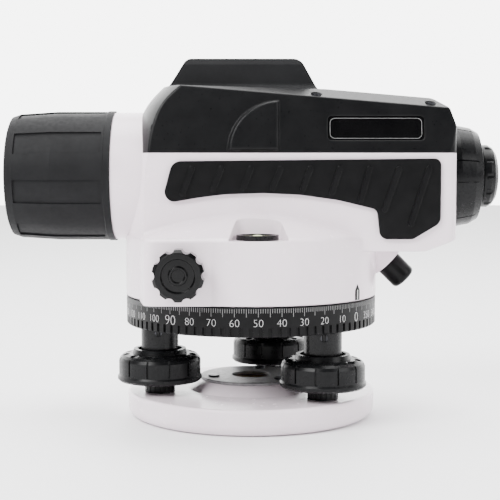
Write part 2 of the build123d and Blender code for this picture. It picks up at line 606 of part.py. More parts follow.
def side_wedge(half_angle, reach):
    """A wedge along the line of sight that opens towards -Y."""
    half = reach * math.tan(half_angle)
    return Pos(-110, 0, AXIS_Z) * extrude(Plane.YZ * outline([(0, 0), (-reach, half), (-reach, -half)]), 60)


def objective_cell():
    return turned_x([(-61.9, 19.6), (-61.9, 22.4), (NECK_FRONT, 22.4), (NECK_FRONT, NECK_BORE_R),
                     (-42.0, NECK_BORE_R), (-42.0, 18.0), (-44.5, 18.0), (-44.5, 20.6), (-56.0, 20.6),
                     (-56.0, 19.6)])


def objective_lenses():
    """Crown element in front, flint element behind."""
    crown = turned_x([(-54.5, 0), (-54.0, 9.0), (-52.6, 20.6), (-50.6, 20.6), (-49.4, 9.0), (-49.0, 0)])
    flint = turned_x([(-48.9, 0), (-49.3, 9.0), (-50.5, 20.6), (-44.5, 20.6), (-45.3, 9.0), (-45.5, 0)])
    return [crown, flint]


def objective_ring():
    """Ring that screws in front of the lenses."""
    return turned_x([(-56.0, 18.6), (-56.0, 20.6), (-53.0, 20.6), (-53.0, 18.6)])


# ================================================================ focusing
def rack_teeth(x_low, x_high):
    pitch = math.pi * RACK_MODULE
    count = int((x_high - FOCUS_X) / pitch)
    half, slope = RACK_TOOTH_W / 2, math.tan(math.radians(20))
    low, high = RACK_PITCH_Z - 0.7, RACK_PITCH_Z + 0.42
    tooth = [(-half - 0.7 * slope, low), (-half + 0.42 * slope, high), (half - 0.42 * slope, high),
             (half + 0.7 * slope, low)]
    return [Pos(FOCUS_X + pitch * (i + 0.5), 0, 0) * side_plate(tooth, *RACK_Y)
            for i in range(-count, count)]


def focus_carriage():
    """Sliding tube with its rack."""
    x_low, x_high = FOCUS_X - 12.0, FOCUS_X + 12.0
    tube = cyl_x(13.55, x_low, x_high) - cyl_x(11.4, x_low - 1, x_high + 1)
    tube += cyl_x(13.0, FOCUS_X + 3.2, FOCUS_X + 5.0) - cyl_x(10.2, FOCUS_X, FOCUS_X + 8)
    bar = block((x_low, x_high), (12.2, RACK_Y[1]), (97.2, RACK_PITCH_Z - 0.6))
    bar -= cyl_x(11.4, x_low - 1, x_high + 1)
    return tube + bar + rack_teeth(x_low, x_high)


def focusing_lens():
    x = FOCUS_X
    return turned_x([(x - 0.6, 0), (x - 1.3, 6.0), (x - 2.6, 11.4), (x + 3.2, 11.4), (x + 1.9, 6.0),
                     (x + 1.2, 0)])


def focus_guide():
    """Tube that the carriage slides in, on a foot screwed to the housing floor."""
    x_low, x_high = -36.0, 6.0
    body = cyl_x(15.4, x_low, x_high)
    body += block((x_low, -16.0), (-9, 9), (CHAMBER_FLOOR, AXIS_Z - 10))
    body -= cyl_x(13.55 + RUNNING_GAP, x_low - 1, x_high + 1)
    return body - block((x_low - 1, 2.6), (8.0, 20.0), (96.6, 106.8))


def pinion():
    """Pinion with its shaft, along Y."""
    tip_r, root_r = PINION_PITCH_R + 0.42, PINION_PITCH_R - 0.62
    tooth = outline([(root_r - 0.3, -0.50), (PINION_PITCH_R, -0.30), (tip_r, -0.14), (tip_r, 0.14),
                     (PINION_PITCH_R, 0.30), (root_r - 0.3, 0.50)])
    width = RACK_Y[1] - RACK_Y[0]
    step = 360 / PINION_TEETH
    gear = Cylinder(root_r, width) + [
        Rot(0, 0, 90 + step * i) * Pos(0, 0, -width / 2) * extrude(tooth, width)
        for i in range(PINION_TEETH)]
    gear = Pos(FOCUS_X, sum(RACK_Y) / 2, PINION_Z) * Rot(90, 0, 0) * gear
    return gear + cyl_y(1.8, 13.6, FOCUS_KNOB_OUT - 3, FOCUS_X, PINION_Z)


def focus_knob():
    depth = FOCUS_KNOB_OUT - FOCUS_KNOB_IN
    body = turned([(1.8, 0), (12.4, 0), (12.4, 1.4), (FOCUS_KNOB_R, 2.2), (FOCUS_KNOB_R, depth - 1.4),
                   (FOCUS_KNOB_R - 1.4, depth), (8.0, depth), (7.5, depth - 0.6), (0, depth - 0.6),
                   (0, depth - 3), (1.8, depth - 3)])
    scallop = cyl(1.7, 1.6, depth + 1, FOCUS_KNOB_R + 0.9)
    body -= [Rot(0, 0, 360 / 14 * i) * scallop for i in range(14)]
    return Pos(FOCUS_X, FOCUS_KNOB_IN, PINION_Z) * Rot(-90, 0, 0) * body


def focus_bush():
    outer = cyl_y(3.4, BODY_HALF_W - WALL - 1.0, FOCUS_KNOB_IN - 0.4, FOCUS_X, PINION_Z)
    return outer - cyl_y(1.8 + RUNNING_GAP, 20, 40, FOCUS_X, PINION_Z)


# ================================================================ compensator
def compensator_frame():
    body = block((14, 37), (-CHEEK_Y[1], CHEEK_Y[1]), (CHAMBER_FLOOR, 78.5))
    for side in (-1, 1):
        y = sorted((side * CHEEK_Y[0], side * CHEEK_Y[1]))
        body += block((14, 44), y, (CHAMBER_FLOOR, 120.0))
    body += block((26, 32), (-CHEEK_Y[1], CHEEK_Y[1]), (PENDULUM_PIVOT_Z, 120.0))
    body += block((14, 21), (-CHEEK_Y[1], CHEEK_Y[1]), (110.0, 112.0))
    body += block((37, 44), (-CHEEK_Y[1], CHEEK_Y[1]), (110.0, 112.0))
    cup = ring(7.0, 5.7, 78.0, 84.4)
    body += Pos(PENDULUM_X, 0, 0) * cup
    return body - button_cyl(1.8, -34.0, -20.0)


def fixed_prisms():
    front = side_plate([(14.5, 110), (21, 110), (14.5, 92)], -9, 9)
    rear = side_plate([(43.5, 110), (37, 110), (43.5, 92)], -9, 9)
    return [front, rear]


def pendulum_frame():
    x_low, x_high = PENDULUM_X - 5.5, PENDULUM_X + 5.5
    body = block((x_low, x_high), (-11.5, 11.5), (107.0, 109.0))
    body += block((x_low, x_high), (-11.5, 11.5), (85.0, 87.5))
    for side in (-1, 1):
        body += block((x_low, x_high), sorted((side * 9.8, side * 11.5)), (86.0, 108.0))
    return body + Pos(PENDULUM_X, 0, 0) * cyl(5.0, 79.4, 86.0)


def pendulum_prism():
    x = PENDULUM_X
    return side_plate([(x - 5.2, 87.5), (x + 5.2, 87.5), (x + 2.6, 101.5), (x - 2.6, 101.5)], -9.8, 9.8)


def suspension_ribbons():
    """Four thin metal strips that the pendulum hangs on."""
    strip = block((-0.1, 0.1), (-1.0, 1.0), (109.0, PENDULUM_PIVOT_Z - 0.05))
    return [Pos(PENDULUM_X + dx, dy, 0) * strip for dx in (-2.2, 2.2) for dy in (-8, 8)]


# ================================================================ eyepiece end
def eyepiece_shroud():
    body = turned_x([(REAR_X, 19.2), (REAR_X, 21.2), (84.8, 21.1), (90.6, 20.0), (93.7, 18.2),
                     (SHROUD_END, 15.6), (SHROUD_END, EYE_HOLE_R), (SHROUD_END - 1.8, EYE_HOLE_R),
                     (SHROUD_END - 1.8, 14.8), (89.7, 18.0)])
    groove = block((REAR_X + 1.0, 92.7), (-0.3, 0.3), (AXIS_Z + 20.2, AXIS_Z + 30))
    tip = block((89.6, SHROUD_END + 1), (-0.3, 0.3), (AXIS_Z + 19.2, AXIS_Z + 30))
    for first in SHROUD_GROOVES_AT:
        body -= turns_x(groove + tip, SHROUD_GROOVE_PAIRS, first)
    return body


def eyepiece_tube():
    """Fixed tube for the reticle cell and the sliding eyepiece barrel."""
    body = turned_x([(60.5, 9.5), (60.5, EYE_HOLE_R), (SHROUD_END + 0.05, EYE_HOLE_R),
                     (SHROUD_END + 0.05, 10.9), (97.2, 10.9), (97.2, 9.5)])
    return body - reticle_screw_set(0.9)


def reticle_screw_set(radius):
    """Screws at 45 degrees that centre the reticle cell."""
    return turns_x(cyl(radius, AXIS_Z + 9.5, AXIS_Z + 13.1, 64.8), 4, 45)


def reticle_cell():
    return turned_x([(62.8, 7.2), (62.8, 9.4), (67.0, 9.4), (67.0, 6.6), (65.6, 6.6), (65.6, 7.2)])


def reticle_glass():
    return turned_x([(63.8, 0), (63.8, 7.2), (65.6, 7.2), (65.6, 0)])


def dioptre_ring():
    r = RING_R
    body = turned_x([(SHROUD_END + 0.35, 10.9 + RUNNING_GAP), (SHROUD_END + 0.35, r - 0.5),
                     (SHROUD_END + 0.9, r), (98.2, r), (100.0, r - 1.0), (101.4, r - 3.0),
                     (RING_END, r - 5.2), (RING_END - 0.6, r - 6.0), (100.3, r - 3.4), (97.9, 9.75),
                     (97.5, 9.75), (97.5, 10.9 + RUNNING_GAP)])
    scallop = cyl_x(1.5, SHROUD_END + 1.8, RING_END + 1, 0, AXIS_Z + r + 0.8)
    return body - turns_x(scallop, RING_LOBES)


def eyepiece_barrel():
    return turned_x([(70.0, 7.9), (70.0, 9.5 - RUNNING_GAP), (98.5, 9.5 - RUNNING_GAP), (99.1, 8.8),
                     (99.1, 7.2), (97.7, 7.2), (97.7, 7.9)])


def eyepiece_lenses():
    eye = turned_x([(93.9, 0), (94.3, 7.9), (96.9, 7.9), (97.6, 0)])
    field = turned_x([(80.4, 0), (81.0, 7.9), (84.6, 7.9), (85.2, 0)])
    return [eye, field]


# ================================================================ check button
def button_cap():
    body = button_cyl(BUTTON_CAP_R, -3.4, BUTTON_REACH)
    body = fillet(body.edges().filter_by(GeomType.CIRCLE).sort_by(Axis.Z)[0], 1.8)
    return body - button_cyl(4.1, -4.0, 5.0)


def button_rod():
    return button_cyl(1.2, -28.2, 5.0)


def button_spring():
    return button_cyl(3.6, -6.2, 5.0) - button_cyl(2.6, -7.0, 6.0)


def button_clip():
    return button_cyl(2.6, -20.9, -20.3) - button_cyl(1.2, -22, -19)


def main():
    os.makedirs("parts", exist_ok=True)
    save("base_plate", base_plate())
    save("thread_insert", thread_insert())
    save("ball_retainers", *ball_retainers())
    save("centre_plate", centre_plate())
    save("centre_plate_screws", *centre_plate_screws())
    for name in FOOT_AZIMUTH:
        save(f"foot_knob_{name}", foot_place(name) * foot_knob())
        save(f"foot_spindle_{name}", foot_place(name) * foot_spindle())
        save(f"pivot_ball_{name}", foot_place(name) * pivot_ball())
    save("tribrach", tribrach())
    save("foot_bushes", *foot_bushes())
    save("tension_screws", *tension_screws())
    save("vertical_axis", vertical_axis())
    save("washers", *washers())
    save("axis_screw", axis_screw())
    save("horizontal_circle", horizontal_circle())
    save("worm_shaft", worm_shaft())
    save("clutch_gear", clutch_gear())
    save("tangent_knobs", *tangent_knobs())
    save("housing", housing())
    save("top_cover", top_cover())
    save("cover_screws", *cover_screws())
    save("name_plates", *name_plate_pair(-0.7, -0.3))
    save("grip_pad_left", grip_pad(-1))
    save("grip_pad_right", grip_pad(1))
    save("sight", sight())
    save("sight_windows", *sight_windows())
    save("index_mark", index_mark())
    save("vial_cup", vial_cup())
    save("vial", vial_liquid(), vial_glass())
    save("housing_bushes", azimuth_bush(), *drive_bushes(), focus_bush())
    save("lens_hood", lens_hood())
    save("objective_cell", objective_cell(), objective_ring())
    save("objective_lenses", *objective_lenses())
    save("focus_guide", focus_guide())
    save("focus_carriage", focus_carriage())
    save("focusing_lens", focusing_lens())
    save("pinion", pinion())
    save("focus_knob", focus_knob())
    save("compensator_frame", compensator_frame())
    save("fixed_prisms", *fixed_prisms())
    save("pendulum_frame", pendulum_frame())
    save("pendulum_prism", pendulum_prism())
    save("suspension_ribbons", *suspension_ribbons())
    save("eyepiece_shroud", eyepiece_shroud())
    save("eyepiece_tube", eyepiece_tube())
    save("reticle_cell", reticle_cell())
    save("reticle_glass", reticle_glass())
    save("reticle_screws", *reticle_screw_set(0.9))
    save("dioptre_ring", dioptre_ring())
    save("eyepiece_barrel", eyepiece_barrel())
    save("eyepiece_lenses", *eyepiece_lenses())
    save("button_cap", button_cap())
    save("button_rod", button_rod(), button_clip())
    save("button_spring", button_spring())


if __name__ == "__main__":
    main()
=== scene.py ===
import bmesh
import bpy
import json
import math
from mathutils import Matrix, Vector


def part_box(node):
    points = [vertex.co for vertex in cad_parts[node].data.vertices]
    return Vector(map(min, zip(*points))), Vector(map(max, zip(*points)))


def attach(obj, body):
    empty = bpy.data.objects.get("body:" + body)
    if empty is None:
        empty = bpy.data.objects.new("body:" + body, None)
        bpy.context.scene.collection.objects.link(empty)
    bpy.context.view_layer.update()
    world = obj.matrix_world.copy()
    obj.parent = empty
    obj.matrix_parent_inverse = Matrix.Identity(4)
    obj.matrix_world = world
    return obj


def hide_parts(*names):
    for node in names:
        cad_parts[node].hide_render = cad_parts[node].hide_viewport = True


# Looks of the automatic level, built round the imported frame. Metres.

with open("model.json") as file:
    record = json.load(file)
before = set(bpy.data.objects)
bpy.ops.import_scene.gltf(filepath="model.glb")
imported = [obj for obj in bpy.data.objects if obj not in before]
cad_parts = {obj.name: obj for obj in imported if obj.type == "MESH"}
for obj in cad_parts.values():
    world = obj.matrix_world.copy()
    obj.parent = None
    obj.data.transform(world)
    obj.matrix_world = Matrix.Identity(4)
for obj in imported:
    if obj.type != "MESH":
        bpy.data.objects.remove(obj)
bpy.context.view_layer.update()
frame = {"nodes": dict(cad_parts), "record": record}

MM = 0.001

# ---------------------------------------------------------------- places taken from the frame
circle_low, circle_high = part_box("horizontal_circle")
CIRCLE_R = circle_high[0]
CIRCLE_LOW, CIRCLE_TOP = circle_low[2], circle_high[2]
DRUM_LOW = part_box("housing")[0][2]
hood_low, hood_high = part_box("lens_hood")
SIGHT_LINE = Vector((0, 0, (hood_low[2] + hood_high[2]) / 2))
vial_low, vial_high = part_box("vial")
VIAL = Vector(((vial_low[0] + vial_high[0]) / 2, (vial_low[1] + vial_high[1]) / 2, vial_high[2]))
plates_low, plates_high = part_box("name_plates")
insert_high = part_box("thread_insert")[1]
INSERT_R, INSERT_HEIGHT = insert_high[0], insert_high[2]

# ---------------------------------------------------------------- details of its own
ZERO_AZIMUTH = 53.03            # degrees from -Y towards +X
TICK_TOP = CIRCLE_TOP - 0.2 * MM
TICK_SHORT, TICK_LONG = CIRCLE_TOP - 1.9 * MM, CIRCLE_TOP - 3.4 * MM  # lower ends
TICK_WIDTH, MARK_RISE = 0.14 * MM, 0.04 * MM
NUMBER_MIDDLE = CIRCLE_LOW + 5.5 * MM
NUMBER_HEIGHT, QUARTER_NUMBER_HEIGHT = 2.7 * MM, 3.6 * MM
STROKE_OFFSET = -0.028          # thins the strokes of a number one unit high
INDEX_AZIMUTH, INDEX_LINE_WIDTH = 53.5, 0.6 * MM
INDEX_LINE_SPAN = (DRUM_LOW + 0.5 * MM, DRUM_LOW + 4.4 * MM)
COVER_LEAN = math.atan(0.18)
BORDER_INSET, BORDER_WIDTH, BORDER_RISE, BORDER_TURN = 0.85 * MM, 0.11 * MM, 0.03 * MM, 1.9 * MM
VIAL_CIRCLE_R, VIAL_CIRCLE_WIDTH = 2.75 * MM, 0.3 * MM
BUBBLE_R, BUBBLE_DEPTH = 2.0 * MM, 0.5 * MM
RIDGE_PITCH, RIDGE_COUNT, HOOD_BORE_R = 2.4 * MM, 13, 22.15 * MM
THREAD_PITCH, THREAD_DEPTH, THREAD_MINOR_R = 25.4 / 11 * MM, 1.0 * MM, 6.8 * MM
THREAD_FADE = 0.6 * MM

# ---------------------------------------------------------------- studio
FLOOR_R, FLOOR_THICKNESS = 3.0, 0.02
WORLD_DIM, WORLD_BRIGHT = 0.08, 6.5
LIGHT_AIM = (0, 0, 0.08)
LIGHTS = (                      # name, place, size, power in watts
    ("key", (-0.8, -0.9, 1.1), (0.9, 0.7), 48.0),
    ("fill", (1.1, -0.7, 0.7), (0.8, 0.8), 14.0),
    ("top", (0.0, 0.1, 1.3), (1.2, 0.8), 26.0),
)
CAMERA_PLACE, CAMERA_DIP, CAMERA_LENS = (-0.0004, -0.487, 0.1016), 3.92, 83.6


# ================================================================ materials
def link(mat, source, target):
    mat.node_tree.links.new(source, target)


def node(mat, kind, **values):
    """A new shader node, with the named inputs set."""
    made = mat.node_tree.nodes.new(kind)
    for key, value in values.items():
        made.inputs[key.replace("_", " ")].default_value = value
    return made


def shader_of(mat):
    return mat.node_tree.nodes["Principled BSDF"]


def new_material(name, colour, roughness, metallic=0.0, **constants):
    mat = bpy.data.materials.new(name)
    mat.use_nodes = True
    shader = shader_of(mat)
    shader.inputs["Base Color"].default_value = (*colour, 1.0)
    shader.inputs["Roughness"].default_value = roughness
    shader.inputs["Metallic"].default_value = metallic
    for key, value in constants.items():
        shader.inputs[key.replace("_", " ")].default_value = value
    return mat


def noise(mat, size, detail=3.0, roughness=0.5):
    """Noise in object space whose grains are about size metres across."""
    place = mat.node_tree.nodes.new("ShaderNodeTexCoord")
    made = node(mat, "ShaderNodeTexNoise", Scale=1.0 / size, Detail=detail, Roughness=roughness)
    link(mat, place.outputs["Object"], made.inputs["Vector"])
    return made.outputs["Fac"]


def mottle(mat, colour, other, size):
    """Base colour that drifts between two tones."""
    ramp = mat.node_tree.nodes.new("ShaderNodeValToRGB")
    ramp.color_ramp.elements[0].position = 0.35
    ramp.color_ramp.elements[0].color = (*colour, 1.0)
    ramp.color_ramp.elements[1].position = 0.65
    ramp.color_ramp.elements[1].color = (*other, 1.0)
    link(mat, noise(mat, size), ramp.inputs["Fac"])
    link(mat, ramp.outputs["Color"], shader_of(mat).inputs["Base Color"])


def rough_between(mat, low, high, size):
    spread = node(mat, "ShaderNodeMapRange", From_Min=0.3, From_Max=0.7, To_Min=low, To_Max=high)
    link(mat, noise(mat, size, detail=4.0), spread.inputs["Value"])
    link(mat, spread.outputs["Result"], shader_of(mat).inputs["Roughness"])


def grain(mat, size, depth, edge=0.0, detail=2.0):
    """Fine surface relief, over edges that are rounded by a small radius."""
    bump = node(mat, "ShaderNodeBump", Distance=depth, Strength=1.0)
    link(mat, noise(mat, size, detail), bump.inputs["Height"])
    if edge:
        bevel = node(mat, "ShaderNodeBevel", Radius=edge)
        bevel.samples = 6
        link(mat, bevel.outputs["Normal"], bump.inputs["Normal"])
    link(mat, bump.outputs["Normal"], shader_of(mat).inputs["Normal"])


def powder_coat():
    mat = new_material("powder_coat", (0.80, 0.70, 0.755), 0.24, Specular_IOR_Level=0.5)
    mottle(mat, (0.79, 0.69, 0.745), (0.82, 0.72, 0.775), 14 * MM)
    rough_between(mat, 0.20, 0.28, 2.5 * MM)
    grain(mat, 0.7 * MM, 0.006 * MM, edge=0.7 * MM)
    return mat


def moulded_plastic():
    mat = new_material("moulded_plastic", (0.0045, 0.0046, 0.0050), 0.45, Specular_IOR_Level=0.12)
    mottle(mat, (0.0040, 0.0041, 0.0045), (0.0058, 0.0059, 0.0063), 9 * MM)
    rough_between(mat, 0.27, 0.36, 0.9 * MM)
    grain(mat, 0.32 * MM, 0.014 * MM, edge=1.0 * MM)
    return mat


def smooth_plastic():
    mat = new_material("smooth_plastic", (0.0040, 0.0041, 0.0045), 0.36, Specular_IOR_Level=0.13)
    mottle(mat, (0.0036, 0.0037, 0.0041), (0.0052, 0.0053, 0.0057), 11 * MM)
    rough_between(mat, 0.24, 0.34, 1.6 * MM)
    grain(mat, 0.5 * MM, 0.008 * MM)
    return mat


def satin_plastic():
    mat = new_material("satin_plastic", (0.0062, 0.0063, 0.0069), 0.60, Specular_IOR_Level=0.12)
    mottle(mat, (0.0056, 0.0057, 0.0063), (0.0074, 0.0075, 0.0082), 11 * MM)
    rough_between(mat, 0.54, 0.66, 1.6 * MM)
    grain(mat, 0.4 * MM, 0.008 * MM)
    return mat


def grip_rubber():
    mat = new_material("grip_rubber", (0.0030, 0.0030, 0.0033), 0.50, Specular_IOR_Level=0.10)
    mottle(mat, (0.0026, 0.0026, 0.0029), (0.0042, 0.0042, 0.0045), 6 * MM)
    rough_between(mat, 0.30, 0.40, 0.7 * MM)
    grain(mat, 0.22 * MM, 0.010 * MM, edge=0.7 * MM)
    return mat


def gloss_black():
    mat = new_material("gloss_black", (0.0022, 0.0022, 0.0025), 0.12, Specular_IOR_Level=0.15)
    mottle(mat, (0.0018, 0.0018, 0.0020), (0.0028, 0.0028, 0.0030), 8 * MM)
    rough_between(mat, 0.10, 0.16, 1.8 * MM)
    grain(mat, 0.9 * MM, 0.006 * MM, edge=0.45 * MM)
    return mat


def circle_enamel():
    mat = new_material("circle_enamel", (0.0030, 0.0030, 0.0033), 0.36, Specular_IOR_Level=0.12)
    mottle(mat, (0.0026, 0.0026, 0.0029), (0.0042, 0.0042, 0.0045), 5 * MM)
    rough_between(mat, 0.30, 0.44, 0.8 * MM)
    grain(mat, 0.3 * MM, 0.008 * MM, edge=0.25 * MM)
    return mat


def mark_white():
    mat = new_material("mark_white", (0.55, 0.55, 0.55), 0.5, Specular_IOR_Level=0.3)
    mottle(mat, (0.48, 0.48, 0.48), (0.62, 0.62, 0.62), 1.2 * MM)
    return mat


def mark_grey():
    mat = new_material("mark_grey", (0.26, 0.26, 0.26), 0.5, Specular_IOR_Level=0.2)
    mottle(mat, (0.22, 0.22, 0.22), (0.30, 0.30, 0.30), 1.2 * MM)
    return mat


def dark_casting():
    mat = new_material("dark_casting", (0.0050, 0.0050, 0.0055), 0.28, Specular_IOR_Level=0.16)
    mottle(mat, (0.0045, 0.0045, 0.0050), (0.0068, 0.0068, 0.0074), 4 * MM)
    rough_between(mat, 0.24, 0.34, 0.8 * MM)
    grain(mat, 0.4 * MM, 0.014 * MM, edge=0.4 * MM)
    return mat


def machined(name, colour, roughness, size=0.5 * MM, depth=0.004 * MM):
    """Bare metal with fine turning marks and a little tarnish."""
    mat = new_material(name, colour, roughness, metallic=1.0)
    darker = tuple(0.82 * c for c in colour)
    mottle(mat, darker, colour, 3 * MM)
    rough_between(mat, roughness - 0.06, roughness + 0.10, 0.6 * MM)
    grain(mat, size, depth, edge=0.15 * MM)
    return mat


def plate_sheet():
    """Dull zinc plating on pressed sheet."""
    mat = new_material("plate_sheet", (0.20, 0.195, 0.20), 0.46, metallic=0.75)
    mottle(mat, (0.17, 0.165, 0.17), (0.24, 0.235, 0.24), 2.5 * MM)
    rough_between(mat, 0.40, 0.56, 0.9 * MM)
    grain(mat, 0.35 * MM, 0.008 * MM, edge=0.2 * MM)
    return mat


def glass(name, colour, film=0.0, roughness=0.02):
    """Clear glass, with an optional coating of so many nanometres."""
    mat = new_material(name, colour, roughness, Transmission_Weight=1.0, IOR=1.52,
                       Thin_Film_Thickness=film, Thin_Film_IOR=1.38)
    rough_between(mat, roughness, roughness + 0.02, 4 * MM)
    return mat


def vial_liquid():
    mat = new_material("vial_liquid", (0.72, 0.86, 0.30), 0.04, Transmission_Weight=0.88, IOR=1.36)
    mottle(mat, (0.68, 0.84, 0.26), (0.76, 0.88, 0.36), 5 * MM)
    return mat


MATERIALS = {
    "white_paint": powder_coat(),
    "black_plastic": moulded_plastic(),
    "black_rubber": grip_rubber(),
    "gloss_black": gloss_black(),
    "circle_paint": circle_enamel(),
    "dark_alloy": dark_casting(),
    "steel": machined("steel", (0.52, 0.52, 0.53), 0.30),
    "spring_steel": plate_sheet(),
    "brass": machined("brass", (0.62, 0.46, 0.22), 0.34),
    "aluminium": machined("aluminium", (0.66, 0.66, 0.68), 0.36),
    "lens_glass": glass("lens_glass", (0.96, 0.97, 1.0), film=310.0),
    "prism_glass": glass("prism_glass", (0.97, 0.99, 1.0)),
    "vial_glass": vial_liquid(),
    "plate_grey": gloss_black(),
}
SMOOTH_PLASTIC = smooth_plastic()
SATIN_PLASTIC = satin_plastic()
MARK_WHITE, MARK_GREY = mark_white(), mark_grey()
BLACK_STEEL = machined("black_steel", (0.05, 0.05, 0.055), 0.34)
OWN_FINISH = {
    "index_mark": MATERIALS["black_rubber"],
    "lens_hood": SATIN_PLASTIC,
    "sight": SATIN_PLASTIC,
    "eyepiece_shroud": SMOOTH_PLASTIC,
    "dioptre_ring": SMOOTH_PLASTIC,
    "foot_knob_left": SMOOTH_PLASTIC,
    "foot_knob_right": SMOOTH_PLASTIC,
    "foot_knob_rear": SMOOTH_PLASTIC,
    "cover_screws": BLACK_STEEL,
    "ball_retainers": MATERIALS["dark_alloy"],
    "tension_screws": BLACK_STEEL,
    "centre_plate_screws": BLACK_STEEL,
}


def finish_cad_nodes():
    """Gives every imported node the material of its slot, or its own."""
    for row in frame["record"]["subparts"]:
        name = row["node"]
        mat = OWN_FINISH.get(name, MATERIALS[row["material_slot"]])
        for place in frame["nodes"][name].material_slots:
            place.material = mat


# ================================================================ mesh helpers
def piece(name, mesh, mat, body, smooth=False):
    """An object from a mesh, riding on a body."""
    made = bpy.data.objects.new(name, mesh)
    bpy.context.scene.collection.objects.link(made)
    mesh.materials.clear()
    mesh.materials.append(mat)
    if smooth:
        mesh.shade_smooth()
    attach(made, body)
    return made


def mesh_from(name, bm):
    bmesh.ops.recalc_face_normals(bm, faces=bm.faces)
    mesh = bpy.data.meshes.new(name)
    bm.to_mesh(mesh)
    bm.free()
    return mesh


def on_cylinder(radius, azimuth, z):
    """A point at an azimuth in degrees, counted from -Y towards +X."""
    a = math.radians(azimuth)
    return Vector((radius * math.sin(a), -radius * math.cos(a), z))


def add_curved_box(bm, radii, azimuths, heights):
    """A small block that follows a cylinder about the vertical axis."""
    corners = [bm.verts.new(on_cylinder(r, a, z)) for r in radii for a in azimuths for z in heights]
    for ring in ((0, 1, 3, 2), (4, 6, 7, 5), (0, 4, 5, 1), (2, 3, 7, 6), (0, 2, 6, 4), (1, 5, 7, 3)):
        bm.faces.new([corners[i] for i in ring])


def bridge(bm, ring_pairs):
    """Faces between pairs of closed rings of the same number of points."""
    for a, b in ring_pairs:
        for i in range(len(a)):
            j = (i + 1) % len(a)
            bm.faces.new((a[i], a[j], b[j], b[i]))


def turned_mesh(name, profile, centre, axis, segments=96, closed=True):
    """A solid of revolution: profile holds (distance along the axis, radius) pairs."""
    turn = Vector((0, 0, 1)).rotation_difference(Vector(axis)).to_matrix()
    bm = bmesh.new()
    rings = []
    for along, radius in profile:
        rings.append([bm.verts.new(Vector(centre) + turn @ Vector((
            radius * math.cos(2 * math.pi * i / segments),
            radius * math.sin(2 * math.pi * i / segments), along))) for i in range(segments)])
    pairs = list(zip(rings, rings[1:])) + ([(rings[-1], rings[0])] if closed else [])
    bridge(bm, pairs)
    return mesh_from(name, bm)


# ================================================================ graduated circle
def circle_ticks():
    bm = bmesh.new()
    half = math.degrees(TICK_WIDTH / 2 / CIRCLE_R)
    for degree in range(360):
        low = TICK_LONG if degree % 5 == 0 else TICK_SHORT
        azimuth = ZERO_AZIMUTH - degree
        add_curved_box(bm, (CIRCLE_R - MARK_RISE, CIRCLE_R + MARK_RISE),
                       (azimuth - half, azimuth + half), (low, TICK_TOP))
    piece("circle_ticks", mesh_from("circle_ticks", bm), MARK_GREY, "circle")


def number_mesh(text, height):
    """A flat thin-stroked number of a height, centred on the origin."""
    curve = bpy.data.curves.new("number", "FONT")
    curve.body = text
    curve.align_x = "CENTER"
    curve.offset = STROKE_OFFSET
    curve.resolution_u = 6
    holder = bpy.data.objects.new("number", curve)
    mesh = bpy.data.meshes.new_from_object(holder)
    bpy.data.objects.remove(holder)
    bpy.data.curves.remove(curve)
    heights = [v.co.y for v in mesh.vertices]
    scale = height / (max(heights) - min(heights))
    middle = (max(heights) + min(heights)) / 2
    mesh.transform(Matrix.Diagonal((scale, scale, 1, 1)) @ Matrix.Translation((0, -middle, 0)))
    return mesh


def circle_numbers():
    bm = bmesh.new()
    for degree in range(0, 360, 10):
        mesh = number_mesh(str(degree), NUMBER_HEIGHT if degree % 90 else QUARTER_NUMBER_HEIGHT)
        start = len(bm.verts)
        bm.from_mesh(mesh)
        bm.verts.ensure_lookup_table()
        for vert in bm.verts[start:]:
            turn = math.degrees(vert.co.x / CIRCLE_R)
            vert.co = on_cylinder(CIRCLE_R + MARK_RISE, ZERO_AZIMUTH - degree + turn,
                                  NUMBER_MIDDLE + vert.co.y)
        bpy.data.meshes.remove(mesh)
    grown = bmesh.ops.extrude_face_region(bm, geom=list(bm.faces))["geom"]
    for vert in (g for g in grown if isinstance(g, bmesh.types.BMVert)):
        flat = Vector((vert.co.x, vert.co.y, 0)).normalized()
        vert.co -= flat * 2 * MARK_RISE
    piece("circle_numbers", mesh_from("circle_numbers", bm), MARK_WHITE, "circle")


def outer_radius(name):
    """How far a node reaches from the vertical axis."""
    return max(math.hypot(v.co.x, v.co.y) for v in frame["nodes"][name].data.vertices)


def index_line():
    """White line in the lower half of the index inlay: partly the index mark, partly a painted
    highlight for the thin highlight down the inlay.
    """
    radius = outer_radius("index_mark")
    half = math.degrees(INDEX_LINE_WIDTH / 2 / radius)
    bm = bmesh.new()
    add_curved_box(bm, (radius - 0.2 * MM, radius + MARK_RISE),
                   (INDEX_AZIMUTH - half, INDEX_AZIMUTH + half), INDEX_LINE_SPAN)
    # Painted highlight: this light line also stands for the thin highlight that runs down the index
    # inlay.
    piece("index_line", mesh_from("index_line", bm), MARK_WHITE, "telescope")


# ================================================================ name plates, vial
def rounded_loop(length, height, radius, steps=6):
    """Points of a rounded rectangle about the origin."""
    loop = []
    for k, (sx, sy) in enumerate(((1, 1), (-1, 1), (-1, -1), (1, -1))):
        centre = Vector((sx * (length / 2 - radius), sy * (height / 2 - radius)))
        for i in range(steps + 1):
            a = math.pi / 2 * (k + i / steps)
            loop.append(centre + radius * Vector((math.cos(a), math.sin(a))))
    return loop


